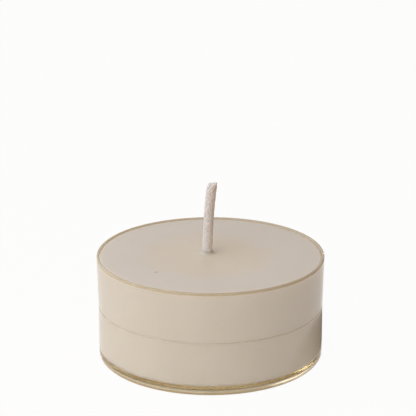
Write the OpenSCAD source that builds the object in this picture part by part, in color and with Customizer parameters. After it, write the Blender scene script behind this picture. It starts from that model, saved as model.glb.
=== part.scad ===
// Tea light candle in a clear moulded cup: cup, wax, braided wick and its metal foot.
// Millimetres. The origin is the centre of the foot ring, where the cup stands, and +Z is up.

/* [Cup] */
// Outside diameter at the brim
brim_d = 38; // [36.5:0.1:42]
// Outside diameter of the straight lower half
waist_d = 37.6; // [34:0.1:37.9]
// Height of the cup
cup_h = 17.85; // [14:0.05:24]
// Height of the step where the straight lower wall meets the flared upper wall
step_z = 9.25; // [6:0.05:11]
// Wall thickness above the step
upper_wall = 0.45; // [0.3:0.05:0.6]
// Wall thickness below the step
lower_wall = 0.6; // [0.6:0.05:1.2]
// Height over which the wall thickens at the step
step_rise = 0.1; // [0.05:0.01:0.4]
// Radius inside the cup, between wall and floor
cavity_corner_r = 0.6; // [0.3:0.05:1.5]

/* [Cup base] */
// Height of the floor's underside above the table
floor_lift = 0.7; // [0.5:0.05:1.2]
// Thickness of the floor
floor_t = 0.8; // [0.5:0.05:1.2]
// Width of the flat ring that the cup stands on
foot_w = 0.7; // [0.4:0.05:1.2]
// Radius of the outside bottom corner
foot_corner_r = 0.9; // [0.4:0.05:1.1]
// Radius where the foot ring meets the floor's underside
foot_root_r = 0.4; // [0.2:0.05:0.5]
// Draft of the foot ring's inner wall, in degrees
foot_draft = 12; // [3:1:20]
// Diameter of the moulding gate's mark under the floor
gate_d = 1.8; // [1:0.1:3]
// Height of the moulding gate's mark
gate_h = 0.25; // [0.1:0.05:0.5]

/* [Wax] */
// How far the wax lies below the brim
fill_drop = 0.25; // [0.1:0.05:3]
// Gap that the cooled wax leaves at the wall and over the floor
shrink_gap = 0.04; // [0.02:0.01:0.15]
// Radius of the wax's upper edge
wax_edge_r = 0.2; // [0.1:0.05:0.5]
// Diameter of the shallow dish in the wax's top
dish_d = 24; // [12:0.5:30]
// Depth of the shallow dish
dish_depth = 0.22; // [0.05:0.01:0.8]
// Radius of the hollow flank of the wax that climbs the wick
climb_r = 0.6; // [0.3:0.05:1.2]
// Steepness of that flank where it ends at the wick, in degrees
climb_angle = 76; // [45:1:80]
// Play between the wax and what it is cast around
cast_play = 0.03; // [0.01:0.01:0.08]

/* [Pinhole in the wax] */
// Distance of the pinhole from the cup's axis
pinhole_reach = 12.3; // [5:0.1:15]
// Direction of the pinhole, in degrees from +X
pinhole_azimuth = 220; // [180:1:330]
// Diameter of the pinhole
pinhole_d = 0.7; // [0.3:0.05:1.2]

/* [Wick] */
// Diameter over the braid
wick_d = 1.8; // [1.2:0.05:2.4]
// Height of the wick's tip above the wax's level
wick_rise = 12.2; // [6:0.1:18]
// Place of the wick's foot, left or right of the cup's axis
wick_x = -0.5; // [-2:0.1:2]
// Place of the wick's foot, in front of or behind the cup's axis
wick_y = 1.5; // [-2:0.1:2]
// Radius of the arc in which the wick leans over above the wax
lean_r = 95; // [60:1:600]
// Number of yarns that wind each way in the braid
yarns = 4; // [3:1:6]
// Height in which one yarn winds once around the wick
lay_length = 6.4; // [4:0.1:10]
// Depth of the furrows between the yarns
furrow = 0.09; // [0.02:0.01:0.15]
// Height that the worn side of the cut tip has lost
tip_loss = 0.8; // [0.2:0.05:1.2]
// Height by which the cut rises towards the other side
tip_rise = 0.12; // [0:0.01:0.3]
// Depth of the hollow in the middle of the cut
tip_hollow = 0.14; // [0:0.01:0.3]

/* [Wick sustainer] */
// Diameter of the metal disc
disc_d = 12.6; // [8:0.1:20]
// Thickness of the sheet metal
sheet_t = 0.22; // [0.15:0.01:0.35]
// Height of the neck above the cup's floor
neck_h = 3.2; // [2:0.1:5]
// Radius of the bend between disc and neck
neck_bend_r = 0.6; // [0.3:0.05:1]
// Play between neck and wick, on each side
neck_play = 0.12; // [0.08:0.01:0.2]
// Play left where the neck is crimped on the wick, on each side
crimp_play = 0.02; // [0.01:0.01:0.05]
// Height of the crimp above the cup's floor
crimp_z = 2.1; // [1.6:0.1:4]
// Radius of the tool that rolls the crimp
crimp_tool_r = 0.45; // [0.3:0.05:0.6]

/* [Smoothness] */
// Steps around a full turn of a round form
steps = 96; // [48:12:192]
// Steps around the braided wick
wick_sides = 20; // [16:2:28]
// Height of one step along the braided wick
wick_step = 0.22; // [0.18:0.01:0.4]

/* [Hidden] */
$fn = steps;
// Steps around a full turn of the dish's long arc, of which it shows only a few degrees
arc_steps = 1440;

brim_r = brim_d / 2;
waist_r = waist_d / 2;
lip_r = upper_wall / 2;
lip_z = cup_h - lip_r;
floor_z = floor_lift + floor_t;
foot_outer_r = waist_r - foot_corner_r;
foot_inner_r = foot_outer_r - foot_w;

wax_z = cup_h - fill_drop;
wax_foot_z = floor_z + shrink_gap;
dish_r = (pow(dish_d / 2, 2) + pow(dish_depth, 2)) / (2 * dish_depth);

wick_r = wick_d / 2;
wick_foot_z = wax_foot_z;
lean_z = wax_z - dish_depth;
tip_angle = asin((wax_z + wick_rise - lean_z) / lean_r);
straight_length = lean_z - wick_foot_z;
wick_length = straight_length + arc_length(tip_angle);

neck_inner_r = wick_r + neck_play;
neck_outer_r = neck_inner_r + sheet_t;
crimp_inner_r = wick_r + crimp_play;
crimp_half = crimp_tool_r / 2;

// Length of the wick's leaning stretch up to the angle a
function arc_length(a) = lean_r * a * PI / 180;

// A corner rounded to radius r inside the point [x, y]; out_x and out_y say which way it points
module round_corner(x, y, r, out_x = 1, out_y = 1) {
    translate([x - out_x * r, y - out_y * r]) circle(r = r);
}

// Outline of the solid cup, from the axis out
module cup_outline() {
    polygon([
        [0, 0],
        [foot_outer_r, 0],
        [waist_r, foot_corner_r],
        [waist_r, step_z],
        [brim_r, lip_z],
        [0, lip_z]
    ]);
    round_corner(waist_r, 0, foot_corner_r, out_y = -1);
    round_corner(brim_r, cup_h, lip_r);
}

// Outline of the cup's inside up to the height top, drawn smaller all round by gap
module cavity_outline(top, gap = 0) {
    low_r = waist_r - lower_wall - gap;
    high_r = waist_r - upper_wall - gap;
    mouth_r = brim_r - upper_wall - gap;
    corner = cavity_corner_r - gap;
    base = floor_z + gap;
    top_r = high_r + (mouth_r - high_r) * (min(top, lip_z) - step_z) / (lip_z - step_z);
    polygon([
        [0, base],
        [low_r - corner, base],
        [low_r, base + corner],
        [low_r, step_z - step_rise],
        [high_r, step_z],
        [top_r, min(top, lip_z)],
        [top_r, top],
        [0, top]
    ]);
    round_corner(low_r, base, corner, out_y = -1);
}

// Outline of the hollow under the floor, whose rounded root meets the drafted wall smoothly
module recess_outline() {
    root_z = floor_lift - foot_root_r;
    root_x = foot_inner_r - root_z * tan(foot_draft) - foot_root_r / cos(foot_draft);
    polygon([
        [0, -1],
        [foot_inner_r, -1],
        [foot_inner_r, 0],
        [root_x + foot_root_r * cos(foot_draft), root_z + foot_root_r * sin(foot_draft)],
        [root_x, floor_lift],
        [0, floor_lift]
    ]);
    translate([root_x, root_z]) circle(r = foot_root_r);
}

// Clear cup, moulded in one piece
module plastic_cup() {
    color([0.95, 0.93, 0.86, 0.4]) {
        rotate_extrude() difference() {
            cup_outline();
            cavity_outline(top = cup_h + 1);
            recess_outline();
        }
        translate([0, 0, floor_lift - gate_h]) cylinder(d = gate_d, h = gate_h + floor_t / 2);
    }
}

// Wax that climbs the wick, as a ring with a hollow flank
module climbing_wax() {
    reach = wick_r + climb_r * sin(climb_angle);
    sunk = dish_depth + 0.1;
    translate([wick_x, wick_y, wax_z - dish_depth]) rotate_extrude() difference() {
        translate([0, -sunk]) square([reach, sunk + climb_r * (1 - cos(climb_angle))]);
        translate([reach, climb_r]) circle(r = climb_r);
    }
}

// Wax, cast in the cup around the wick and its sustainer
module wax_fill() {
    edge_r = waist_r - upper_wall - shrink_gap
        + (brim_r - waist_r) * (wax_z - step_z) / (lip_z - step_z);
    color([0.84, 0.8, 0.73]) difference() {
        union() {
            rotate_extrude() difference() {
                cavity_outline(top = wax_z, gap = shrink_gap);
                difference() {
                    translate([edge_r - wax_edge_r, wax_z - wax_edge_r]) square(2 * wax_edge_r);
                    round_corner(edge_r, wax_z, wax_edge_r);
                }
                translate([0, wax_z - dish_depth + dish_r]) circle(r = dish_r, $fn = arc_steps);
            }
            climbing_wax();
        }
        translate([wick_x, wick_y, 0]) rotate_extrude() union() {
            square([wick_r + cast_play, wax_z + climb_r]);
            sustainer_outline(cast_play);
        }
        rotate([0, 0, pinhole_azimuth]) translate([pinhole_reach, 0, wax_z]) sphere(d = pinhole_d);
    }
}

// Outline of the sustainer without its hole, drawn larger all round by gap
module sustainer_outline(gap = 0) {
    disc_top = wax_foot_z + sheet_t + gap;
    bend_r = neck_bend_r - gap;
    outer_r = neck_outer_r + gap;
    translate([0, wax_foot_z - gap]) square([disc_d / 2 + gap, sheet_t + 2 * gap]);
    translate([0, wax_foot_z]) square([outer_r, neck_h - shrink_gap + gap]);
    translate([0, disc_top]) difference() {
        square([outer_r + bend_r, bend_r]);
        translate([outer_r + bend_r, bend_r]) circle(r = bend_r);
    }
}

// Sheet metal disc with a drawn neck, crimped on the wick
module wick_sustainer() {
    crimp_mid = floor_z + crimp_z;
    color([0.78, 0.77, 0.74]) translate([wick_x, wick_y, 0]) rotate_extrude() difference() {
        sustainer_outline();
        polygon([
            [0, floor_z],
            [neck_inner_r + neck_bend_r, floor_z],
            [neck_inner_r, wax_foot_z + neck_bend_r],
            [neck_inner_r, crimp_mid - 2 * crimp_half],
            [crimp_inner_r, crimp_mid - crimp_half],
            [crimp_inner_r, crimp_mid + crimp_half],
            [neck_inner_r, crimp_mid + 2 * crimp_half],
            [neck_inner_r, floor_z + neck_h + 1],
            [0, floor_z + neck_h + 1]
        ]);
        translate([crimp_inner_r + sheet_t + crimp_tool_r, crimp_mid]) circle(r = crimp_tool_r);
    }
}

// How high the braid's surface stands at the angle a and the height s, from 0 in a furrow to 1
function braid(a, s) = let(turn = 360 * s / lay_length) max(
    abs(cos(yarns * (a + turn) / 2)),
    abs(cos(yarns * (a - turn) / 2))
);

// Point of the wick's surface at the angle a and the length s, at the share k of its radius
function wick_point(a, s, k = 1) = let(
    lean = max(0, s - straight_length) * 180 / (PI * lean_r),
    r = k * (wick_r - furrow * (1 - braid(a, s))),
    x = wick_x + lean_r * (1 - cos(lean)) + r * cos(a) * cos(lean),
    z = lean_z + min(0, s - straight_length) + lean_r * sin(lean) - r * cos(a) * sin(lean)
) [x, wick_y + r * sin(a), z];

// Height that the cut tip lacks at the angle a, at the share k of the radius
function tip_drop(a, k) = let(side = k * cos(a))
    tip_loss * pow(max(0, -side), 2) + tip_rise * (1 - side) / 2 + tip_hollow * (1 - k);

// Braided cotton wick with an uneven cut tip
module wick() {
    rings = ceil(wick_length / wick_step);
    // The cut's own height is spread over the last steps, so that they stay even
    cut_rings = ceil(2 * (tip_loss + tip_rise) / wick_step);
    caps = [2 / 3, 1 / 3];
    side_points = [for (i = [0:rings], j = [0:wick_sides - 1])
        let(
            a = 360 * j / wick_sides,
            share = max(0, (i - rings + cut_rings) / cut_rings),
            s = wick_length * i / rings - share * tip_drop(a, 1)
        ) wick_point(a, s)];
    cap_points = [for (k = caps, j = [0:wick_sides - 1])
        let(a = 360 * j / wick_sides) wick_point(a, wick_length - tip_drop(a, k), k)];
    last_ring = rings + len(caps);
    foot_centre = [wick_x, wick_y, wick_foot_z];
    tip_centre = wick_point(0, wick_length - tip_drop(0, 0), 0);
    foot_index = (last_ring + 1) * wick_sides;
    color([0.88, 0.84, 0.8]) polyhedron(
        points = concat(side_points, cap_points, [foot_centre, tip_centre]),
        faces = concat(
            [for (i = [0:last_ring - 1], j = [0:wick_sides - 1])
                let(n = (j + 1) % wick_sides, low = i * wick_sides, high = low + wick_sides)
                    each [[low + j, high + n, low + n], [low + j, high + j, high + n]]],
            [for (j = [0:wick_sides - 1]) [foot_index, j, (j + 1) % wick_sides]],
            [for (j = [0:wick_sides - 1]) let(low = last_ring * wick_sides)
                [foot_index + 1, low + (j + 1) % wick_sides, low + j]]
        )
    );
}

plastic_cup();
wax_fill();
wick();
wick_sustainer();
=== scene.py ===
"""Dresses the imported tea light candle: a clear cup, cast wax, a braided wick and its metal foot.

Every size is in metres. The candle stands on the plane z = 0 with the cup's axis on the z axis,
and the photograph looks at it along +Y from a little above.
"""

import logging
import math
from dataclasses import dataclass, field
from enum import Enum
from typing import Iterable, Optional, Union

import bpy
from mathutils import Matrix, Vector


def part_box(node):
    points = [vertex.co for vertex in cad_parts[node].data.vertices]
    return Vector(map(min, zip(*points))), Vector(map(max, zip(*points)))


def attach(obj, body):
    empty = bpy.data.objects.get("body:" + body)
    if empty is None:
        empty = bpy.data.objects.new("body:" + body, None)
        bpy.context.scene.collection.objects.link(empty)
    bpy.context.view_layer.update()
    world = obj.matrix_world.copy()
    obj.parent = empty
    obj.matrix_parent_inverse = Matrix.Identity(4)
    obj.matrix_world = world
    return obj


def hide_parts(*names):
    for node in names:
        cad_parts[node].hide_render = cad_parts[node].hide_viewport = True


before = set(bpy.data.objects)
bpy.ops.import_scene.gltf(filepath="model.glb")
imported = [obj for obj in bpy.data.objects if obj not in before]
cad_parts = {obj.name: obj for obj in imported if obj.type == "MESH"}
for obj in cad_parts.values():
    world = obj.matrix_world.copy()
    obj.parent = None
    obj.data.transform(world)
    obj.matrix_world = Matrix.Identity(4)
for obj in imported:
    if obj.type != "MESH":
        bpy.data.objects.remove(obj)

LOG = logging.getLogger("tea_light")
MM = 0.001
BODY = "root"
SEAM = 0.001 * MM
# Light that runs along inside the cup's floor is thrown back and forth about this often.
CLEAR_BOUNCES = 40

Number = Union[int, float]
Pair = tuple[float, float]
Triple = tuple[float, float, float]
Colour = Triple


class Rays(Enum):
    """What the Light Path node tells about a ray: its kind, or how often it was passed on."""

    CAMERA = "Is Camera Ray"
    GLOSSY = "Is Glossy Ray"
    SHADOW = "Is Shadow Ray"
    TRANSMISSION = "Is Transmission Ray"
    PASSED_THROUGH = "Transmission Depth"
    SCATTERED = "Diffuse Depth"


# Shader trees


class Signal:
    """A socket of a shader tree, with Python's operators adding the Math nodes."""

    def __init__(self, tree: "Tree", socket: bpy.types.NodeSocket) -> None:
        """Wraps a socket.

        Args:
            tree: The tree that the socket is in.
            socket: The output socket.
        """
        self.tree = tree
        self.socket = socket

    def _math(self, operation: str, first: "Operand", second: "Operand") -> "Signal":
        """Adds one Math node.

        Args:
            operation: The node's operation.
            first: Its first value.
            second: Its second value.

        Returns:
            The node's result.
        """
        return self.tree.node("ShaderNodeMath", {"operation": operation}, {0: first, 1: second})

    def __add__(self, other: "Operand") -> "Signal":
        """Adds a value."""
        return self._math("ADD", self, other)

    __radd__ = __add__

    def __sub__(self, other: "Operand") -> "Signal":
        """Takes a value off."""
        return self._math("SUBTRACT", self, other)

    def __rsub__(self, other: "Operand") -> "Signal":
        """Is taken off a value."""
        return self._math("SUBTRACT", other, self)

    def __mul__(self, other: "Operand") -> "Signal":
        """Multiplies by a value."""
        return self._math("MULTIPLY", self, other)

    __rmul__ = __mul__

    def __truediv__(self, other: "Operand") -> "Signal":
        """Divides by a value."""
        return self._math("DIVIDE", self, other)

    def __rtruediv__(self, other: "Operand") -> "Signal":
        """Divides a value."""
        return self._math("DIVIDE", other, self)

    def most(self, other: "Operand") -> "Signal":
        """Gives the larger of this and another value."""
        return self._math("MAXIMUM", self, other)

    def least(self, other: "Operand") -> "Signal":
        """Gives the smaller of this and another value."""
        return self._math("MINIMUM", self, other)


Operand = Union[Signal, Number]
Feed = Union[Signal, Number, tuple, str]


class Tree:
    """One material or world and the nodes in it."""

    def __init__(self, owner: Union[bpy.types.Material, bpy.types.World]) -> None:
        """Empties the owner's node tree.

        Args:
            owner: A material or the world.
        """
        owner.use_nodes = True
        self.owner = owner
        self.nodes = owner.node_tree.nodes
        self.links = owner.node_tree.links
        self.nodes.clear()

    def node(
        self,
        kind: str,
        settings: Optional[dict] = None,
        feeds: Optional[dict[Union[int, str], Feed]] = None,
        output: Union[int, str] = 0,
    ) -> Signal:
        """Adds any node.

        Args:
            kind: The node's type.
            settings: Its properties, such as an operation, set before its sockets.
            feeds: A value or a signal for each input socket, by name or number.
            output: The output socket to give back.

        Returns:
            The output socket as a signal.
        """
        made = self.nodes.new(kind)
        for name, value in (settings or {}).items():
            setattr(made, name, value)
        for name, value in (feeds or {}).items():
            if isinstance(value, Signal):
                self.links.new(value.socket, made.inputs[name])
            else:
                made.inputs[name].default_value = value
        return Signal(self, made.outputs[output])

    def position(self) -> Signal:
        """Gives the Object coordinates."""
        return self.node("ShaderNodeTexCoord", output="Object")

    def along(self, place: Signal, axis: str) -> Signal:
        """Gives one of the three coordinates, X, Y or Z."""
        return self.node("ShaderNodeSeparateXYZ", feeds={"Vector": place}, output=axis)

    def scaled(self, place: Signal, scale: Triple) -> Signal:
        """Gives the coordinates times a factor for each axis."""
        return self.node("ShaderNodeMapping", feeds={"Vector": place, "Scale": scale})

    def distance(self, place: Signal, middle: Triple) -> Signal:
        """Gives the distance from a point."""
        settings = {"operation": "DISTANCE"}
        feeds = {0: place, 1: middle}
        return self.node("ShaderNodeVectorMath", settings, feeds, output="Value")

    def rays(self, kind: Rays) -> Signal:
        """Gives what the Light Path node says about a ray."""
        return self.node("ShaderNodeLightPath", output=kind.value)

    def noise(self, place: Signal, scale: float, detail: float = 2.0, rough: float = 0.5) -> Signal:
        """Adds a noise pattern.

        Args:
            place: The coordinates that it reads.
            scale: How many features it has in a metre.
            detail: How many finer layers it has.
            rough: How strong the finer layers are.

        Returns:
            A value from 0 to 1.
        """
        feeds = {"Vector": place, "Scale": scale, "Detail": detail, "Roughness": rough}
        return self.node("ShaderNodeTexNoise", feeds=feeds)

    def blend(self, share: Signal, low: Feed, high: Feed) -> Signal:
        """Mixes two colours.

        Args:
            share: How much of the second colour there is.
            low: The first colour.
            high: The second colour.

        Returns:
            The mixed colour.
        """
        made = self.nodes.new("ShaderNodeMix")
        made.data_type = "RGBA"
        self.links.new(share.socket, made.inputs[0])
        for socket, value in ((made.inputs[6], low), (made.inputs[7], high)):
            if isinstance(value, Signal):
                self.links.new(value.socket, socket)
            else:
                socket.default_value = (*value, 1.0)
        return Signal(self, made.outputs[2])

    def steps(self, value: Signal, low: float, high: float) -> Signal:
        """Turns a value into a smooth step.

        Args:
            value: The value to judge.
            low: Where the step starts.
            high: Where it ends.

        Returns:
            0 below the step and 1 above it.
        """
        settings = {"interpolation_type": "SMOOTHSTEP"}
        feeds = {"Value": value, "From Min": low, "From Max": high}
        return self.node("ShaderNodeMapRange", settings, feeds)

    def bump(self, height: Signal, strength: float, distance: float, **feeds: Signal) -> Signal:
        """Turns a height into a normal.

        Args:
            height: The height, from 0 to 1.
            strength: How much of the bump shows.
            distance: The real height of the bumps.
            **feeds: Signals for other sockets, such as the Normal that it adds to.

        Returns:
            The bumped normal.
        """
        sockets = {"Strength": strength, "Distance": distance, "Height": height, **feeds}
        return self.node("ShaderNodeBump", feeds=sockets)

    def mix(self, share: Signal, low: Signal, high: Signal) -> Signal:
        """Mixes two shaders.

        Args:
            share: How much of the second shader there is.
            low: The first shader.
            high: The second shader.

        Returns:
            The mixed shader.
        """
        return self.node("ShaderNodeMixShader", feeds={0: share, 1: low, 2: high})

    def finish(self, surface: Signal, volume: Optional[Signal] = None) -> None:
        """Adds the output node.

        Args:
            surface: The surface's shader.
            volume: The volume's shader, if there is one.
        """
        kind = "ShaderNodeOutputMaterial"
        if isinstance(self.owner, bpy.types.World):
            kind = "ShaderNodeOutputWorld"
        out = self.nodes.new(kind)
        self.links.new(surface.socket, out.inputs["Surface"])
        if volume is not None:
            self.links.new(volume.socket, out.inputs["Volume"])


# Finishes


@dataclass(frozen=True)
class ClearPlastic:
    """Clear polycarbonate: yellow in its thick edges, faintly clouded, with painted light at brim,
    step and foot.
    """

    colour: Colour = (0.985, 0.98, 0.965)
    clear_colour: Colour = (1.0, 1.0, 0.99)
    roughness: float = 0.012
    refraction: float = 1.585
    # Painted light at the brim: a brown cloud and tint stand in for the golden-brown light that the
    # clear lip carries.
    brim_band: Pair = (17.3 * MM, 17.6 * MM)
    brim_painted_tint: Colour = (0.86, 0.80, 0.70)
    brim_painted_colour: Colour = (0.66, 0.565, 0.42)
    brim_painted_light: float = 0.5
    # Painted highlight along the step: a pale cloud on the step line.
    step_height: float = 9.2 * MM
    step_fade: Pair = (0.06 * MM, 0.16 * MM)
    step_highlight_colour: Colour = (0.97, 0.91, 0.80)
    step_highlight: float = 0.35
    edge_band: Pair = (0.45 * MM, 1.05 * MM)
    edge_colour: Colour = (0.85, 0.76, 0.55)
    # Partly faint haze and partly painted light: the cloud's golden colour, strongest at the foot,
    # stands in for the light that the clear base carries.
    foot_band: Pair = (0.45 * MM, 0.85 * MM)
    foot_haze_and_glow: float = 0.22
    haze_and_glow_colour: Colour = (0.84, 0.68, 0.40)
    haze_and_glow_share: float = 0.05
    depth_colour: Colour = (0.93, 0.82, 0.52)
    depth_density: float = 70.0
    shadow_colour: Colour = (0.97, 0.965, 0.95)

    def material(self) -> bpy.types.Material:
        """Makes the material.

        Returns:
            The material.
        """
        tree = Tree(bpy.data.materials.new("clear_polycarbonate"))
        place = tree.position()
        flow = tree.noise(place, scale=260.0, detail=3.0)
        height = tree.along(place, "Z")
        # brim, foot and step mark where light is painted: a golden-brown line at the brim, a golden
        # glow at the foot and a highlight along the step; edge marks the yellow of the thick base.
        brim = tree.steps(height, *self.brim_band)
        edge = 1.0 - tree.steps(height, *self.edge_band)
        foot = 1.0 - tree.steps(height, *self.foot_band)
        above_step = height - self.step_height
        step = 1.0 - tree.steps(above_step.most(-1.0 * above_step), *self.step_fade)
        colour = tree.blend(flow, self.colour, self.clear_colour)
        colour = tree.blend(edge, colour, self.edge_colour)
        # The brim's tint is painted light too.
        colour = tree.blend(brim, colour, self.brim_painted_tint)
        plastic = tree.node(
            "ShaderNodeBsdfPrincipled",
            feeds={
                "Base Color": colour,
                "Roughness": self.roughness + self.roughness * flow,
                "IOR": self.refraction,
                "Transmission Weight": 1.0,
                "Normal": tree.bump(flow, strength=0.008, distance=0.05 * MM),
            },
        )
        # The diffuse cloud is faint haze with painted light in it: golden at the foot, brown at the
        # brim, pale along the step.
        cloud_and_painted_colour = tree.blend(brim, self.haze_and_glow_colour, self.brim_painted_colour)
        cloud_and_painted_colour = tree.blend(step, cloud_and_painted_colour, self.step_highlight_colour)
        cloud_and_painted_light = tree.node("ShaderNodeBsdfDiffuse", feeds={"Color": cloud_and_painted_colour})
        cloud_and_painted_share = self.haze_and_glow_share + self.brim_painted_light * brim + self.step_highlight * step
        cloud_and_painted_share = cloud_and_painted_share + self.foot_haze_and_glow * foot
        plastic_with_painted_light = tree.mix(cloud_and_painted_share * (0.7 + 0.6 * flow), plastic, cloud_and_painted_light)
        passing = tree.node(
            "ShaderNodeBsdfTransparent", feeds={"Color": (*self.shadow_colour, 1.0)}
        )
        depth = tree.node(
            "ShaderNodeVolumeAbsorption",
            feeds={"Color": (*self.depth_colour, 1.0), "Density": self.depth_density},
        )
        tree.finish(tree.mix(tree.rays(Rays.SHADOW), plastic_with_painted_light, passing), depth)
        return tree.owner


@dataclass(frozen=True)
class CandleWax:
    """Cream paraffin wax: softly lit from within, with a faint bloom and a darker patch round its
    pinhole.
    """

    warm: Colour = (0.725, 0.64, 0.53)
    pale: Colour = (0.705, 0.648, 0.59)
    middle: Pair = (-0.5 * MM, -0.5 * MM)
    warm_reach: float = 12.5 * MM
    pinhole: Pair = (-8.76 * MM, -8.41 * MM)
    pinhole_fade: Pair = (0.1 * MM, 0.8 * MM)
    pinhole_tone: Colour = (0.60, 0.49, 0.34)
    bloom: Colour = (0.84, 0.80, 0.76)

    def material(self) -> bpy.types.Material:
        """Makes the material.

        Returns:
            The material.
        """
        tree = Tree(bpy.data.materials.new("cream_wax"))
        place = tree.position()
        clouds = tree.noise(place, scale=210.0, detail=3.0, rough=0.55)
        grain = tree.noise(place, scale=2600.0, detail=3.0, rough=0.6)
        plan = tree.scaled(place, (1.0, 1.0, 0.0))
        reach = tree.distance(plan, (*self.middle, 0.0)) / self.warm_reach
        rim = tree.steps(reach + 0.35 * (clouds - 0.5), 0.45, 1.15)
        colour = tree.blend(rim, self.warm, self.pale)
        bloom = tree.steps(grain, 0.35, 0.75)
        colour = tree.blend(0.14 * bloom + 0.14 * clouds, colour, self.bloom)
        # The wax turns darker and browner round the pinhole.
        near = tree.distance(plan, (*self.pinhole, 0.0))
        near_pinhole = 1.0 - tree.steps(near, *self.pinhole_fade)
        colour = tree.blend(0.4 * near_pinhole, colour, self.pinhole_tone)
        fine = tree.bump(grain, strength=0.12, distance=0.03 * MM)
        wax = tree.node(
            "ShaderNodeBsdfPrincipled",
            feeds={
                "Base Color": colour,
                "Roughness": 0.42 + 0.16 * grain,
                "IOR": 1.44,
                "Subsurface Weight": 0.35,
                "Subsurface Radius": (1.0, 0.72, 0.48),
                "Subsurface Scale": 2.2 * MM,
                "Normal": tree.bump(clouds, strength=0.25, distance=0.08 * MM, Normal=fine),
            },
        )
        tree.finish(wax)
        return tree.owner


@dataclass(frozen=True)
class WaxedCotton:
    """Bleached cotton yarn that has soaked up wax, with painted shade in the hollows between its
    yarns.
    """

    yarn: Colour = (0.83, 0.785, 0.775)
    furrow_shade: Colour = (0.79, 0.74, 0.725)
    fibre: Colour = (0.90, 0.865, 0.85)

    def material(self) -> bpy.types.Material:
        """Makes the material.

        Returns:
            The material.
        """
        tree = Tree(bpy.data.materials.new("waxed_cotton"))
        place = tree.position()
        fibres = tree.noise(tree.scaled(place, (1.0, 1.0, 0.22)), scale=7000.0)
        patches = tree.noise(place, scale=900.0)
        edges = tree.node("ShaderNodeNewGeometry", output="Pointiness")
        # Painted shade: the colour turns darker where the surface is hollow, between the yarns.
        colour = tree.blend(tree.steps(edges, 0.46, 0.53), self.furrow_shade, self.yarn)
        cotton = tree.node(
            "ShaderNodeBsdfPrincipled",
            feeds={
                "Base Color": tree.blend(0.14 * fibres, colour, self.fibre),
                "Roughness": 0.55 + 0.25 * patches,
                "Subsurface Weight": 0.6,
                "Subsurface Radius": (1.0, 0.92, 0.86),
                "Subsurface Scale": 1.0 * MM,
                "Sheen Weight": 0.04,
                "Normal": tree.bump(fibres, strength=0.12, distance=0.02 * MM),
            },
        )
        tree.finish(cotton)
        return tree.owner


@dataclass(frozen=True)
class Tinplate:
    """Bright tinned sheet steel with rolling marks."""

    colour: Colour = (0.74, 0.73, 0.70)
    spangle: Colour = (0.82, 0.81, 0.79)

    def material(self) -> bpy.types.Material:
        """Makes the material.

        Returns:
            The material.
        """
        tree = Tree(bpy.data.materials.new("tinplate"))
        place = tree.position()
        rolled = tree.scaled(place, (0.06, 1.0, 1.0))
        marks = tree.noise(rolled, scale=6000.0, detail=3.0, rough=0.65)
        spangle = tree.noise(place, scale=700.0)
        metal = tree.node(
            "ShaderNodeBsdfPrincipled",
            feeds={
                "Base Color": tree.blend(spangle, self.colour, self.spangle),
                "Metallic": 1.0,
                "Roughness": 0.24 + 0.2 * marks,
                "Normal": tree.bump(marks, strength=0.2, distance=0.01 * MM),
            },
        )
        tree.finish(metal)
        return tree.owner


# Modelling by hand


def start_fresh() -> None:
    """Leaves edit mode and deselects every object."""
    if bpy.context.object is not None and bpy.context.object.mode != "OBJECT":
        bpy.ops.object.mode_set(mode="OBJECT")
    bpy.ops.object.select_all(action="DESELECT")


def only(piece: bpy.types.Object) -> None:
    """Selects one object and makes it active.

    Args:
        piece: The object.
    """
    start_fresh()
    piece.select_set(True)
    bpy.context.view_layer.objects.active = piece


def modify(piece: bpy.types.Object, kind: str, **settings: object) -> None:
    """Adds a modifier and applies it.

    Args:
        piece: The mesh object.
        kind: The modifier's type.
        **settings: Its properties.
    """
    only(piece)
    modifier = piece.modifiers.new(kind.title(), kind)
    for name, value in settings.items():
        setattr(modifier, name, value)
    bpy.ops.object.modifier_apply(modifier=modifier.name)


def face_outwards(piece: bpy.types.Object, merge: float = 0.0) -> None:
    """Turns the faces of a closed mesh outwards.

    Args:
        piece: The mesh object.
        merge: The distance within which points are merged first, or 0.
    """
    only(piece)
    bpy.ops.object.mode_set(mode="EDIT")
    bpy.ops.mesh.select_all(action="SELECT")
    if merge:
        bpy.ops.mesh.remove_doubles(threshold=merge)
    bpy.ops.mesh.normals_make_consistent(inside=False)
    bpy.ops.object.mode_set(mode="OBJECT")


def smooth(piece: bpy.types.Object, angle: float = 40.0) -> None:
    """Shades a piece smooth, apart from its sharp edges.

    Args:
        piece: The mesh object.
        angle: The angle in degrees past which an edge is sharp.
    """
    only(piece)
    bpy.ops.object.shade_smooth_by_angle(angle=math.radians(angle))


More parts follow.
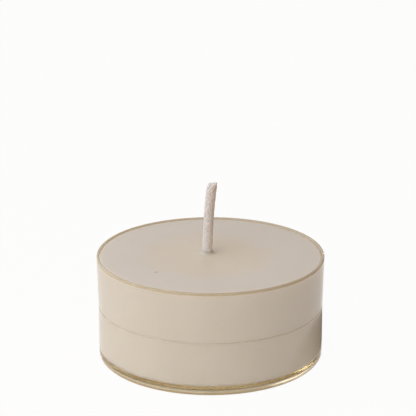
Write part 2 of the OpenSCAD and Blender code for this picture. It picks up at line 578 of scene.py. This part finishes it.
class RingStack:
    """A round form raised ring by ring, each ring extruded from the last and scaled to its size."""

    def __init__(
        self,
        name: str,
        radius: float,
        height: float,
        centre: Pair = (0.0, 0.0),
        capped: bool = False,
        sides: int = 384,
    ) -> None:
        """Adds the first ring.

        Args:
            name: The new object's name.
            radius: The ring's radius.
            height: Its height.
            centre: Its place in plan.
            capped: Whether a flat face closes it.
            sides: How many sides every ring has.
        """
        start_fresh()
        bpy.ops.mesh.primitive_circle_add(
            vertices=sides,
            radius=radius,
            fill_type="NGON" if capped else "NOTHING",
            location=(*centre, height),
        )
        self.piece = bpy.context.object
        self.piece.name = name
        bpy.ops.object.transform_apply(location=True, rotation=True, scale=True)
        bpy.ops.object.mode_set(mode="EDIT")
        bpy.ops.mesh.select_mode(type="EDGE")
        bpy.ops.mesh.select_all(action="SELECT")
        self.radius = radius
        self.height = height
        self.centre = centre

    def ring(self, radius: float, height: float, centre: Optional[Pair] = None) -> None:
        """Raises the next ring.

        Args:
            radius: Its radius.
            height: Its height.
            centre: Its place in plan, or None for the last one's.
        """
        centre = self.centre if centre is None else centre
        shift = (
            centre[0] - self.centre[0],
            centre[1] - self.centre[1],
            height - self.height,
        )
        bpy.ops.mesh.extrude_edges_move(TRANSFORM_OT_translate={"value": shift})
        scale = radius / self.radius
        bpy.ops.transform.resize(
            value=(scale, scale, 1.0), center_override=(centre[0], centre[1], height)
        )
        self.radius = radius
        self.height = height
        self.centre = centre

    def span(self, radius: float, height: float, hold: float = 0.05 * MM) -> None:
        """Raises a long wall, with a ring close to each end that keeps its shading true.

        Args:
            radius: The last ring's radius.
            height: Its height.
            hold: How far from the ends the two extra rings are.
        """
        first = (self.radius, self.height)
        share = hold / math.hypot(radius - first[0], height - first[1])
        for part in (share, 1.0 - share, 1.0):
            self.ring(
                first[0] + (radius - first[0]) * part, first[1] + (height - first[1]) * part
            )

    def arc(self, middle: Pair, bend: float, start: float, end: float, steps: int = 8) -> None:
        """Raises rings along an arc of the profile.

        Args:
            middle: The arc's middle, as its distance from the axis and its height.
            bend: Its radius.
            start: The angle of its first point in degrees, from outwards over up.
            end: The angle of its last point.
            steps: How many rings it has after the first.
        """
        for i in range(steps + 1):
            angle = math.radians(start + (end - start) * i / steps)
            self.ring(middle[0] + bend * math.cos(angle), middle[1] + bend * math.sin(angle))

    def close(self) -> bpy.types.Object:
        """Closes the last ring with a flat face.

        Returns:
            The finished object.
        """
        bpy.ops.mesh.edge_face_add()
        return self.done()

    def done(self, merge: float = 0.0) -> bpy.types.Object:
        """Ends the modelling.

        Args:
            merge: The distance within which the first and last rings are merged, or 0.

        Returns:
            The finished object.
        """
        bpy.ops.object.mode_set(mode="OBJECT")
        face_outwards(self.piece, merge)
        return self.piece


# The candle


class Part:
    """A piece of the candle that stands for one CAD node and takes one material slot."""

    node: str
    slot: str
    finish: Union[ClearPlastic, CandleWax, WaxedCotton, Tinplate]

    def build(self) -> bpy.types.Object:
        """Models the piece."""
        raise NotImplementedError

    def add(self) -> bpy.types.Object:
        """Models the piece, dresses it and gives it its place in the frame.

        Returns:
            The finished piece.
        """
        piece = self.build()
        piece.data.materials.clear()
        piece.data.materials.append(self.finish.material())
        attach(piece, BODY)
        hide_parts(self.node)
        return piece


@dataclass
class WickPath:
    """Where the wick runs: straight up through the wax, then over in one arc."""

    foot: Pair = (-0.5 * MM, 1.5 * MM)
    foot_height: float = 1.54 * MM
    lean_height: float = 17.38 * MM
    lean_radius: float = 95.0 * MM

    def angle(self, height: float) -> float:
        """Gives the lean in radians at a height."""
        return math.asin(max(0.0, height - self.lean_height) / self.lean_radius)

    def plan(self, height: float) -> Pair:
        """Gives the place in plan of the wick's middle at a height."""
        return (
            self.foot[0] + self.lean_radius * (1.0 - math.cos(self.angle(height))),
            self.foot[1],
        )

    def point(self, height: float, turn: float, reach: float) -> Vector:
        """Gives a point beside the wick's middle.

        Args:
            height: The height of the wick's middle there.
            turn: The direction round the wick, in radians from +X.
            reach: The distance from the wick's middle.

        Returns:
            The point.
        """
        lean = self.angle(height)
        across = reach * math.cos(turn)
        x, y = self.plan(height)
        return Vector((
            x + across * math.cos(lean),
            y + reach * math.sin(turn),
            height - across * math.sin(lean),
        ))


@dataclass
class ClearCup(Part):
    """The moulded cup, lathed from the mark under its floor round to the floor's upper side."""

    node = "plastic_cup"
    slot = "cup_clear"
    brim_radius: float
    height: float
    waist_radius: float = 18.8 * MM
    step_height: float = 9.25 * MM
    upper_wall: float = 0.45 * MM
    lower_wall: float = 0.6 * MM
    step_rise: float = 0.1 * MM
    cavity_corner: float = 0.6 * MM
    floor_lift: float = 0.7 * MM
    floor_thickness: float = 0.8 * MM
    foot_width: float = 0.7 * MM
    foot_corner: float = 0.9 * MM
    foot_root: float = 0.4 * MM
    foot_draft: float = 12.0
    gate_radius: float = 0.9 * MM
    gate_height: float = 0.25 * MM
    foot_edge: float = 0.1 * MM
    step_softness: float = 0.03 * MM
    finish: ClearPlastic = field(default_factory=ClearPlastic)

    @property
    def floor_height(self) -> float:
        """Gives the height of the floor's upper side."""
        return self.floor_lift + self.floor_thickness

    @property
    def lip(self) -> float:
        """Gives the radius of the rounded brim."""
        return self.upper_wall / 2.0

    def cavity_radius(self, height: float) -> float:
        """Gives the radius of the cup's inside at a height above the step."""
        share = (height - self.step_height) / (self.height - self.lip - self.step_height)
        return self.waist_radius - self.upper_wall + share * (self.brim_radius - self.waist_radius)

    def build(self) -> bpy.types.Object:
        """Models the cup.

        Returns:
            The cup's object.
        """
        lift = self.floor_lift
        stack = RingStack("clear_cup", self.gate_radius, lift - self.gate_height, capped=True)
        stack.ring(self.gate_radius, lift)
        self._raise_recess(stack)
        self._raise_outside(stack)
        self._lower_inside(stack)
        piece = stack.close()
        smooth(piece)
        return piece

    def _raise_recess(self, stack: RingStack) -> None:
        """Models the floor's underside and the foot ring's inner wall.

        Args:
            stack: The form so far.
        """
        foot_outer = self.waist_radius - self.foot_corner
        foot_inner = foot_outer - self.foot_width
        angle = math.radians(self.foot_draft)
        root = self.foot_root
        root_height = self.floor_lift - root
        root_reach = foot_inner - root_height * math.tan(angle) - root / math.cos(angle)
        stack.span(root_reach, self.floor_lift)
        stack.arc((root_reach, root_height), root, 90.0, self.foot_draft, 7)
        edge = self.foot_edge
        edge_reach = foot_inner + edge * math.tan((math.pi / 2.0 - angle) / 2.0)
        stack.arc((edge_reach, edge), edge, 180.0 + self.foot_draft, 270.0, 4)
        stack.span(foot_outer, 0.0)

    def _raise_outside(self, stack: RingStack) -> None:
        """Models the outside from the bottom corner over the brim.

        Args:
            stack: The form so far.
        """
        corner = self.foot_corner
        stack.arc((self.waist_radius - corner, corner), corner, -82.0, 0.0, 12)
        stack.span(self.waist_radius, self.step_height)
        lip_middle = (self.brim_radius - self.lip, self.height - self.lip)
        stack.span(self.brim_radius, lip_middle[1])
        stack.arc(lip_middle, self.lip, 7.5, 180.0, 16)

    def _lower_inside(self, stack: RingStack) -> None:
        """Models the inside from the brim down to the floor.

        Args:
            stack: The form so far.
        """
        low = self.waist_radius - self.lower_wall
        high = self.waist_radius - self.upper_wall
        soft = self.step_softness
        stack.span(high, self.step_height + soft)
        stack.ring(high - soft * 0.4, self.step_height)
        stack.ring(low + soft * 0.4, self.step_height - self.step_rise)
        stack.ring(low, self.step_height - self.step_rise - soft)
        corner = self.cavity_corner
        stack.span(low, self.floor_height + corner)
        stack.arc((low - corner, self.floor_height + corner), corner, -10.0, -90.0, 8)
        stack.span(low * 0.5, self.floor_height)


@dataclass
class CastWax(Part):
    """The wax, lathed as one closed form round the wick and the sustainer."""

    node = "wax_fill"
    slot = "wax"
    cup: ClearCup
    path: WickPath
    wick_radius: float
    fill_drop: float = 0.25 * MM
    gap: float = 0.04 * MM
    press: float = 0.012 * MM
    free_band: float = 0.1 * MM
    edge: float = 0.2 * MM
    dish_radius: float = 12.0 * MM
    dish_depth: float = 0.22 * MM
    dish_inner: float = 3.4 * MM
    climb: float = 0.6 * MM
    climb_angle: float = 76.0
    clinging_depth: float = 1.2 * MM
    play: float = 0.03 * MM
    disc_radius: float = 6.3 * MM
    sheet: float = 0.22 * MM
    neck_height: float = 3.2 * MM
    neck_bend: float = 0.6 * MM
    neck_play: float = 0.12 * MM
    pinhole_radius: float = 0.45 * MM
    pinhole_depth: float = 0.2 * MM
    finish: CandleWax = field(default_factory=CandleWax)

    @property
    def level(self) -> float:
        """Gives the height of the wax."""
        return self.cup.height - self.fill_drop

    def dish_height(self, reach: float) -> float:
        """Gives the height of the wax's top at a distance from the cup's axis."""
        share = min(1.0, reach / self.dish_radius)
        return self.level - self.dish_depth * (1.0 - share * share)

    def build(self) -> bpy.types.Object:
        """Models the wax.

        Returns:
            The wax's object.
        """
        foot = self.cup.floor_height + self.gap
        pocket = self.disc_radius + self.play
        stack = RingStack("cream_wax", pocket, foot, centre=self.path.foot)
        self._raise_side(stack, foot)
        self._cross_top(stack)
        self._go_down_bore(stack, foot)
        piece = stack.done(merge=SEAM)
        self._sink_pinhole(piece)
        smooth(piece)
        return piece

    def _raise_side(self, stack: RingStack, foot: float) -> None:
        """Models the underside and the side, which clings to the cup up to a band below its edge.

        Args:
            stack: The form so far.
            foot: The height of the underside.
        """
        cup = self.cup
        low = cup.waist_radius - cup.lower_wall
        high = cup.waist_radius - cup.upper_wall
        corner = cup.cavity_corner
        middle = (low - corner, cup.floor_height + corner)
        hold = 0.12 * MM
        stack.ring((self.disc_radius + low) / 2.0, foot, (0.0, 0.0))
        stack.span(middle[0] - 0.1 * MM, foot)
        stack.arc(middle, corner + self.press, -90.0, 0.0, 8)
        stack.span(low + self.press, cup.step_height - cup.step_rise - hold)
        stack.ring(low + self.press, cup.step_height - cup.step_rise)
        stack.ring(high + self.press, cup.step_height)
        stack.ring(high + self.press, cup.step_height + hold)
        top = cup.cavity_radius(self.level) - self.gap
        free = self.level - self.edge - self.free_band
        stack.span(cup.cavity_radius(free) + self.press, free)
        stack.ring(cup.cavity_radius(free) - self.gap, free + 0.08 * MM)
        stack.ring(top, self.level - self.edge)
        stack.arc((top - self.edge, self.level - self.edge), self.edge, 11.0, 90.0, 8)

    def _cross_top(self, stack: RingStack) -> None:
        """Models the shallow dish and the wax that climbs the wick.

        Args:
            stack: The form so far.
        """
        meet = self.wick_radius - self.press * 4.0
        last = math.radians(self.climb_angle)
        reach = meet + self.climb * math.sin(last)
        inner = self.dish_inner
        dish_steps = 14
        for i in range(dish_steps + 1):
            radius = self.dish_radius + (inner - self.dish_radius) * i / dish_steps
            stack.ring(radius, self.dish_height(radius))
        base = self.dish_height(0.0)
        x, y = self.path.plan(self.level)
        shift_steps = 5
        for i in range(1, shift_steps + 1):
            share = i / shift_steps
            radius = inner + (reach - inner) * share
            stack.ring(radius, base + 0.01 * MM * (1.0 - share), (x * share, y * share))
        climb_steps = 12
        for i in range(1, climb_steps + 1):
            angle = last * i / climb_steps
            stack.ring(
                reach - self.climb * math.sin(angle),
                base + self.climb * (1.0 - math.cos(angle)),
            )

    def _go_down_bore(self, stack: RingStack, foot: float) -> None:
        """Models the way of the wick and the pocket of the sustainer.

        Args:
            stack: The form so far.
            foot: The height of the underside.
        """
        bore = self.wick_radius + self.play
        neck_top = self.cup.floor_height + self.neck_height + self.play
        lip = stack.height - self.clinging_depth
        steps = 8
        for i in range(steps + 1):
            height = lip + (neck_top - lip) * i / steps
            stack.ring(bore, height, self.path.plan(height))
        neck = self.wick_radius + self.neck_play + self.sheet + self.play
        disc_top = foot + self.sheet + self.play
        bend = self.neck_bend - self.play
        stack.ring(neck, neck_top, self.path.foot)
        stack.arc((neck + bend, disc_top + bend), bend, 180.0, 270.0, 6)
        pocket = self.disc_radius + self.play
        stack.ring(pocket, disc_top)
        stack.ring(pocket, foot)

    def _sink_pinhole(self, piece: bpy.types.Object) -> None:
        """Sinks the pinhole into the wax's top.

        Args:
            piece: The wax's object.
        """
        x, y = self.finish.pinhole
        start_fresh()
        bpy.ops.mesh.primitive_uv_sphere_add(
            segments=32,
            ring_count=16,
            radius=self.pinhole_radius,
            location=(x, y, self.level + self.pinhole_radius - self.pinhole_depth),
        )
        tool = bpy.context.object
        modify(piece, "BOOLEAN", operation="DIFFERENCE", solver="EXACT", object=tool)
        bpy.data.objects.remove(tool)


@dataclass
class PlaitedWick(Part):
    """The wick: yarns that wind both ways over and under each other, sealed with wax."""

    node = "wick"
    slot = "wick_cotton"
    path: WickPath
    top: float
    radius: float = 0.9 * MM
    yarns_each_way: int = 4
    lay_length: float = 6.4 * MM
    ply_radius: float = 0.2 * MM
    ply_spread: float = 19.0
    weave_depth: float = 0.03 * MM
    ply_step: float = 0.2 * MM
    voxel: float = 0.056 * MM
    smoothing: int = 13
    shoulder_start: float = -0.12
    shoulder_drop: float = 1.2 * MM
    shoulder_bend: float = 1.4
    spike_start: float = 0.62
    spike_rise: float = 0.16 * MM
    core_drop: float = 0.08 * MM
    shoulder_middle: float = -0.15 * MM
    shoulder_slant: Triple = (-0.72, 0.0, 0.69)
    finish: WaxedCotton = field(default_factory=WaxedCotton)

    def _tip_drop(self, across: float) -> float:
        """Gives how far below the wick's top the cut is.

        Args:
            across: The place, from -1 at the left edge to 1 at the right.

        Returns:
            0 at the spike on the right, and more towards the left shoulder.
        """
        if across > self.spike_start:
            return 0.0
        past = max(0.0, self.shoulder_start - across)
        return self.spike_rise + self.shoulder_drop * past ** self.shoulder_bend

    def _ply(self, first_turn: float, way: int) -> bpy.types.Object:
        """Models one ply along its way through the plait.

        Args:
            first_turn: Its direction at the wick's foot, in degrees.
            way: 1 or -1, the way it winds.

        Returns:
            The ply's object.
        """
        foot = self.path.foot_height
        winding = 2.0 * math.pi / self.lay_length
        last_turn = math.radians(first_turn) + way * winding * (self.top - foot)
        length = self.top - self._tip_drop(math.cos(last_turn)) - foot
        count = int(length / self.ply_step)
        middle = self.radius - self.ply_radius - self.weave_depth
        data = bpy.data.curves.new("ply", "CURVE")
        data.dimensions = "3D"
        data.bevel_depth = self.ply_radius
        data.bevel_resolution = 2
        data.use_fill_caps = True
        spline = data.splines.new("POLY")
        spline.points.add(count)
        for i, point in enumerate(spline.points):
            height = foot + length * i / count
            wound = winding * (height - foot)
            over = way * math.cos(self.yarns_each_way * wound)
            turn = math.radians(first_turn) + way * wound
            place = self.path.point(height, turn, middle + self.weave_depth * over)
            point.co = (*place, 1.0)
        piece = bpy.data.objects.new("ply", data)
        bpy.context.collection.objects.link(piece)
        return piece

    def _core(self) -> bpy.types.Object:
        """Models the plait's core, which fills its middle.

        Returns:
            The core's object.
        """
        foot = self.path.foot_height
        radius = self.radius - self.ply_radius
        top = self.top - self.spike_rise - self.core_drop
        stack = RingStack("core", radius, foot, self.path.foot, capped=True, sides=32)
        steps = 60
        for i in range(1, steps + 1):
            height = foot + (top - foot) * i / steps
            stack.ring(radius, height, self.path.plan(height))
        core = stack.close()
        x, y = self.path.plan(self.top)
        only(core)
        bpy.ops.object.mode_set(mode="EDIT")
        bpy.ops.mesh.select_all(action="SELECT")
        bpy.ops.mesh.bisect(
            plane_co=(x + self.shoulder_middle, y, top),
            plane_no=self.shoulder_slant,
            use_fill=True,
            clear_outer=True,
        )
        bpy.ops.object.mode_set(mode="OBJECT")
        return core

    def build(self) -> bpy.types.Object:
        """Models the wick.

        Returns:
            The wick's object.
        """
        plies = []
        for way in (1, -1):
            for i in range(self.yarns_each_way):
                first = 360.0 * i / self.yarns_each_way
                for side in (-1.0, 1.0):
                    plies.append(self._ply(first + side * self.ply_spread, way))
        core = self._core()
        start_fresh()
        for piece in plies + [core]:
            piece.select_set(True)
        bpy.context.view_layer.objects.active = core
        bpy.ops.object.convert(target="MESH")
        bpy.ops.object.join()
        wick = bpy.context.object
        wick.name = "plaited_wick"
        modify(wick, "REMESH", mode="VOXEL", voxel_size=self.voxel, adaptivity=0.0)
        modify(wick, "SMOOTH", factor=0.6, iterations=self.smoothing)
        smooth(wick, 60.0)
        return wick


@dataclass
class Sustainer(Part):
    """The sheet metal disc with its crimped neck, lathed as one closed section."""

    node = "wick_sustainer"
    slot = "sustainer_tinplate"
    wax: CastWax
    crimp_height: float = 2.1 * MM
    crimp_play: float = 0.02 * MM
    tool_radius: float = 0.45 * MM
    disc_edge: float = 0.05 * MM
    finish: Tinplate = field(default_factory=Tinplate)

    def build(self) -> bpy.types.Object:
        """Models the sustainer.

        Returns:
            The sustainer's object.
        """
        wax = self.wax
        floor = wax.cup.floor_height
        foot = floor + wax.gap
        bore = wax.wick_radius + wax.neck_play
        outer = bore + wax.sheet
        bend = wax.neck_bend
        top = floor + wax.neck_height
        crimp = floor + self.crimp_height
        half = self.tool_radius / 2.0
        edge = self.disc_edge
        grip = wax.wick_radius + self.crimp_play
        stack = RingStack("tin_sustainer", bore + bend, foot, wax.path.foot, sides=128)
        stack.ring(wax.disc_radius - edge, foot)
        stack.ring(wax.disc_radius, foot + edge)
        stack.ring(wax.disc_radius, foot + wax.sheet - edge)
        stack.ring(wax.disc_radius - edge, foot + wax.sheet)
        stack.arc((outer + bend, foot + wax.sheet + bend), bend, 270.0, 180.0)
        tool = outer + self.tool_radius - (outer - grip - wax.sheet)
        roll_steps = 8
        for i in range(roll_steps + 1):
            angle = math.radians(250.0 - 140.0 * i / roll_steps)
            radius = min(outer, tool + self.tool_radius * math.cos(angle))
            stack.ring(radius, crimp + self.tool_radius * math.sin(angle))
        stack.ring(outer, top)
        stack.ring(bore, top)
        stack.ring(bore, crimp + 2.0 * half)
        stack.ring(grip, crimp + half)
        stack.ring(grip, crimp - half)
        stack.ring(bore, crimp - 2.0 * half)
        stack.arc((bore + bend, foot + bend), bend, 180.0, 270.0, 6)
        piece = stack.done(merge=SEAM)
        smooth(piece)
        return piece


# The studio


@dataclass(frozen=True)
class Lamp:
    """One soft box aimed at the candle; its azimuth runs from the front over the left."""

    name: str
    azimuth: float
    elevation: float
    distance: float
    width: float
    height: float
    power: float
    colour: Colour

    def add(self) -> None:
        """Adds the lamp."""
        azimuth = math.radians(self.azimuth)
        elevation = math.radians(self.elevation)
        way = Vector((
            -math.sin(azimuth) * math.cos(elevation),
            -math.cos(azimuth) * math.cos(elevation),
            math.sin(elevation),
        ))
        data = bpy.data.lights.new(self.name, "AREA")
        data.shape = "RECTANGLE"
        data.size = self.width
        data.size_y = self.height
        data.energy = self.power
        data.color = self.colour
        lamp = bpy.data.objects.new(self.name, data)
        lamp.visible_camera = False
        lamp.location = way * self.distance
        lamp.rotation_euler = way.to_track_quat("Z", "Y").to_euler()
        bpy.context.collection.objects.link(lamp)


@dataclass
class Studio:
    """A plain white floor and backdrop, three soft boxes and a world that is warm at the right."""

    floor_size: float = 4.0
    floor_height: float = -0.01 * MM
    floor_colour: Colour = (0.82, 0.71, 0.56)
    overhead: float = 0.72
    surround: float = 0.06
    right_fade: Pair = (-0.3, 0.5)
    right_tint: Colour = (0.69, 0.44, 0.19)
    seen_white: float = 0.96
    seen_through_white: float = 0.35
    mirrored_white: float = 0.65
    shade_azimuth: float = 77.0
    shade_throw: float = 15.5 * MM
    shade_radius: float = 17.8 * MM
    shade_blur: float = 2.6 * MM
    glow_radius: float = 20.2 * MM
    glow_blur: float = 0.7 * MM
    spill_azimuth: float = 116.0
    spill_strength: float = 2.3
    spill_throw: float = 17.0 * MM
    spill_inner: float = 3.0 * MM
    spill_outer: float = 9.0 * MM
    lamps: tuple[Lamp, ...] = (
        Lamp("left_lamp", 57.0, 53.5, 0.22, 0.27, 0.075, 0.153, (0.88, 0.935, 1.0)),
        Lamp("front_lamp", 36.0, 30.0, 0.4, 0.4, 0.3, 0.30, (1.0, 0.98, 0.96)),
        Lamp("back_lamp", 122.0, 21.0, 0.5, 0.30, 0.12, 0.32, (0.93, 0.97, 1.0)),
    )

    def add(self) -> None:
        """Adds the floor, the backdrop and the lights."""
        self._add_floor()
        self._add_surround()
        for lamp in self.lamps:
            lamp.add()

    def _add_floor(self) -> None:
        """Adds the floor, which the camera, the mirroring wall and the clear base see whiter."""
        start_fresh()
        bpy.ops.mesh.primitive_plane_add(
            size=self.floor_size, location=(0.0, 0.0, self.floor_height)
        )
        bpy.ops.object.transform_apply(location=True, rotation=True, scale=True)
        floor = bpy.context.object
        floor.name = "floor"
        tree = Tree(bpy.data.materials.new("white_floor"))
        paper = tree.node("ShaderNodeBsdfDiffuse", feeds={"Color": (*self.floor_colour, 1.0)})
        glossy = tree.rays(Rays.GLOSSY)
        inside = tree.rays(Rays.PASSED_THROUGH).least(1.0)
        first = 1.0 - tree.rays(Rays.SCATTERED).least(1.0)
        spill = self._spill_share(tree) * inside * first
        shaded = glossy * (1.0 - self._lit_share(tree))
        shown = tree.blend(shaded, (1.0, 1.0, 1.0), (0.0, 0.0, 0.0))
        plain = tree.node("ShaderNodeEmission", feeds={"Color": shown})
        spilled = tree.node(
            "ShaderNodeEmission", feeds={"Color": shown, "Strength": self.spill_strength}
        )
        mirrored = glossy * (1.0 - inside) * self.mirrored_white
        mirrored = mirrored.most(spill.most(inside * self.seen_through_white))
        share = mirrored.most(tree.rays(Rays.CAMERA) * self.seen_white)
        top = tree.mix(share, paper, tree.mix(spill, plain, spilled))
        below = tree.node("ShaderNodeNewGeometry", output="Backfacing")
        tree.finish(tree.mix(below, top, tree.node("ShaderNodeBsdfTransparent")))
        floor.data.materials.append(tree.owner)

    @staticmethod
    def _beside(azimuth: float, reach: float) -> Triple:
        """Gives the point of the floor at an azimuth, from the back over the right."""
        turn = math.radians(azimuth)
        return (math.sin(turn) * reach, math.cos(turn) * reach, 0.0)

    def _lit_share(self, tree: Tree) -> Signal:
        """Tells the lit floor from the cup's own shadow, which the clear wall mirrors.

        Args:
            tree: The floor's shader.

        Returns:
            1 where the floor is lit and 0 in the shadow.
        """
        place = tree.position()
        reach = tree.distance(place, self._beside(self.shade_azimuth, self.shade_throw))
        inner = self.shade_radius - self.shade_blur
        lit = tree.steps(reach, inner, self.shade_radius + self.shade_blur)
        foot = tree.distance(place, (0.0, 0.0, 0.0))
        glow = 1.0 - tree.steps(
            foot, self.glow_radius - self.glow_blur, self.glow_radius + self.glow_blur
        )
        return lit.most(glow)

    def _spill_share(self, tree: Tree) -> Signal:
        """Tells where the clear base gathers the back lamp's light on the floor in front of it.

        Args:
            tree: The floor's shader.

        Returns:
            1 where that light falls and 0 elsewhere.
        """
        middle = self._beside(self.spill_azimuth, self.spill_throw)
        reach = tree.distance(tree.position(), middle)
        return 1.0 - tree.steps(reach, self.spill_inner, self.spill_outer)

    def _add_surround(self) -> None:
        """Sets the world: white where it is seen, and softer where it lights."""
        world = bpy.data.worlds.new("studio")
        bpy.context.scene.world = world
        tree = Tree(world)
        way = tree.node("ShaderNodeTexCoord", output="Generated")
        height = tree.along(way, "Z").most(0.0)
        strength = self.surround + (self.overhead - self.surround) * height
        right = tree.steps(tree.along(way, "X"), *self.right_fade)
        tint = tree.blend(right, (1.0, 1.0, 1.0), self.right_tint)
        light = tree.node("ShaderNodeBackground", feeds={"Color": tint, "Strength": strength})
        white = tree.node(
            "ShaderNodeBackground", feeds={"Color": (1.0, 1.0, 1.0, 1.0), "Strength": 1.0}
        )
        mirrored = tree.rays(Rays.GLOSSY).most(tree.rays(Rays.TRANSMISSION))
        tree.finish(tree.mix(tree.rays(Rays.CAMERA).most(mirrored), light, white))


@dataclass
class PhotoCamera:
    """The photograph's camera, worked out from the cup's ellipses in it."""

    image_size: float = 416.0
    focal_length: float = 2077.3
    aim: Vector = field(default_factory=lambda: Vector((0.0, 0.0, 9.0 * MM)))
    aim_pixel: Pair = (210.5, 302.83)
    elevation: float = 21.083
    distance: float = 0.35
    sensor: float = 36.0

    def add(self) -> None:
        """Adds the camera and makes it the scene's own."""
        rise = math.radians(self.elevation)
        back = Vector((0.0, -math.cos(rise), math.sin(rise)))
        right = Vector((1.0, 0.0, 0.0))
        up = back.cross(right)
        middle = self.image_size / 2.0
        turn = math.atan2(self.aim_pixel[0] - middle, self.focal_length)
        tilt = math.atan2(self.aim_pixel[1] - middle, self.focal_length)
        pose = Matrix((right, up, back)).transposed()
        pose = pose @ Matrix.Rotation(turn, 3, "Y") @ Matrix.Rotation(tilt, 3, "X")
        data = bpy.data.cameras.new("photo_camera")
        data.sensor_width = self.sensor
        data.lens = self.focal_length * self.sensor / self.image_size
        data.clip_start = 0.01
        camera = bpy.data.objects.new("photo_camera", data)
        camera.matrix_world = Matrix.Translation(self.aim + back * self.distance) @ pose.to_4x4()
        bpy.context.collection.objects.link(camera)
        bpy.context.scene.camera = camera


def main() -> None:
    """Builds the candle, the studio and the camera."""
    logging.basicConfig(level=logging.INFO, format="%(message)s")
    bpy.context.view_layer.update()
    cup_low, cup_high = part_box("plastic_cup")
    wick_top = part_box("wick")[1][2]
    cup = ClearCup(brim_radius=(cup_high[0] - cup_low[0]) / 2.0, height=cup_high[2])
    path = WickPath()
    wick = PlaitedWick(path, top=wick_top)
    wax = CastWax(cup, path, wick.radius)
    for maker in (cup, wax, wick, Sustainer(wax)):
        piece = maker.add()
        LOG.info("built %s with %d faces", piece.name, len(piece.data.polygons))
    Studio().add()
    PhotoCamera().add()
    scene = bpy.context.scene
    scene.view_settings.view_transform = "Standard"
    scene.cycles.max_bounces = CLEAR_BOUNCES
    scene.cycles.transmission_bounces = CLEAR_BOUNCES
    scene.cycles.glossy_bounces = CLEAR_BOUNCES


if __name__ == "__main__":
    main()
